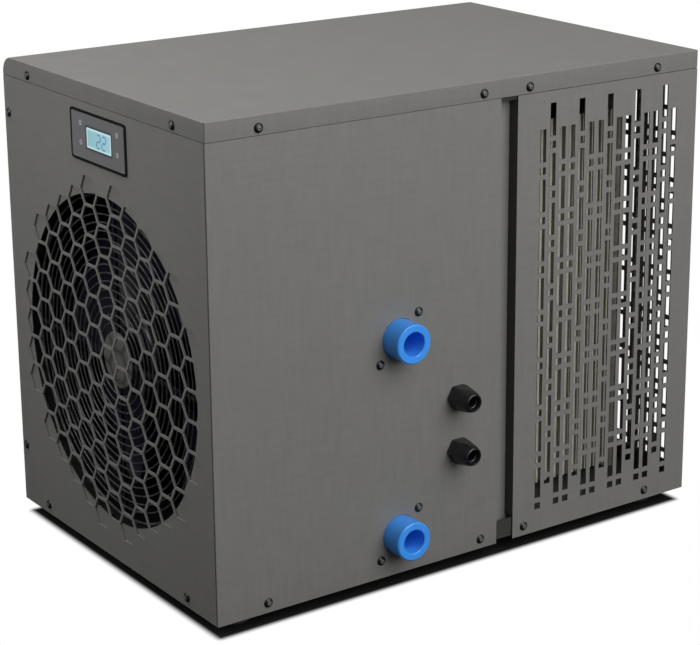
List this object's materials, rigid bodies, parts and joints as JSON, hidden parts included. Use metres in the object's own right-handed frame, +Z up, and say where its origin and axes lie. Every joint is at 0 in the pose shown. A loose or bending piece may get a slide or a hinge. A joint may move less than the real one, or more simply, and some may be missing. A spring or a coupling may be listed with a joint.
{
  "type": "pool heat pump",
  "caption": "Small grey sheet-metal pool heat pump with a honeycomb fan outlet at one end, a perforated intake panel, blue water stubs, cable glands and a small display.",
  "frame": {"origin": "centre of the bottom of the part's bounding box, on the floor", "axes": "+X along the cabinet towards the end with the perforated panel, -Y out of the front with the water stubs, +Z up"},
  "size_m": [0.4794, 0.3442, 0.4],
  "materials": {
    "grey_paint": "satin powder coat",
    "black_plastic": "moulded",
    "blue_plastic": "moulded",
    "blade_plastic": "moulded",
    "display_grey": "satin film",
    "display_glass": "lit display window",
    "fin_metal": "coated fins",
    "galvanised": "galvanised sheet",
    "motor_steel": "dark paint",
    "rubber": "moulded"
  },
  "bodies": {
    "cabinet": {"base_pan": "grey_paint", "foot_front_left": "rubber", "foot_front_right": "rubber", "foot_back_left": "rubber", "foot_back_right": "rubber", "lid": "grey_paint", "service_panel": "grey_paint", "intake_panel": "grey_paint", "end_panel": "grey_paint", "back_panel": "grey_paint", "fan_panel": "grey_paint", "fan_shroud": "grey_paint", "fan_guard": "black_plastic", "fan_motor": "motor_steel", "motor_plate": "galvanised", "motor_rail_front": "galvanised", "motor_rail_back": "galvanised", "centre_post": "grey_paint", "coil_fins": "fin_metal", "coil_plate_left": "galvanised", "coil_plate_right": "galvanised", "water_outlet": "blue_plastic", "water_inlet": "blue_plastic", "gland_body_upper": "black_plastic", "gland_body_lower": "black_plastic", "gland_cap_upper": "black_plastic", "gland_cap_lower": "black_plastic", "display_face": "display_grey", "display_window": "display_glass", "display_box": "black_plastic"},
    "rotor": {"fan_rotor": "blade_plastic"}
  },
  "joints": [
    {"name": "fan_spin", "type": "hinge", "parent": "cabinet", "child": "rotor", "pos_m": [-0.2072, 0.0078, 0.1795], "axis": [1, 0, 0], "continuous": true}
  ]
}
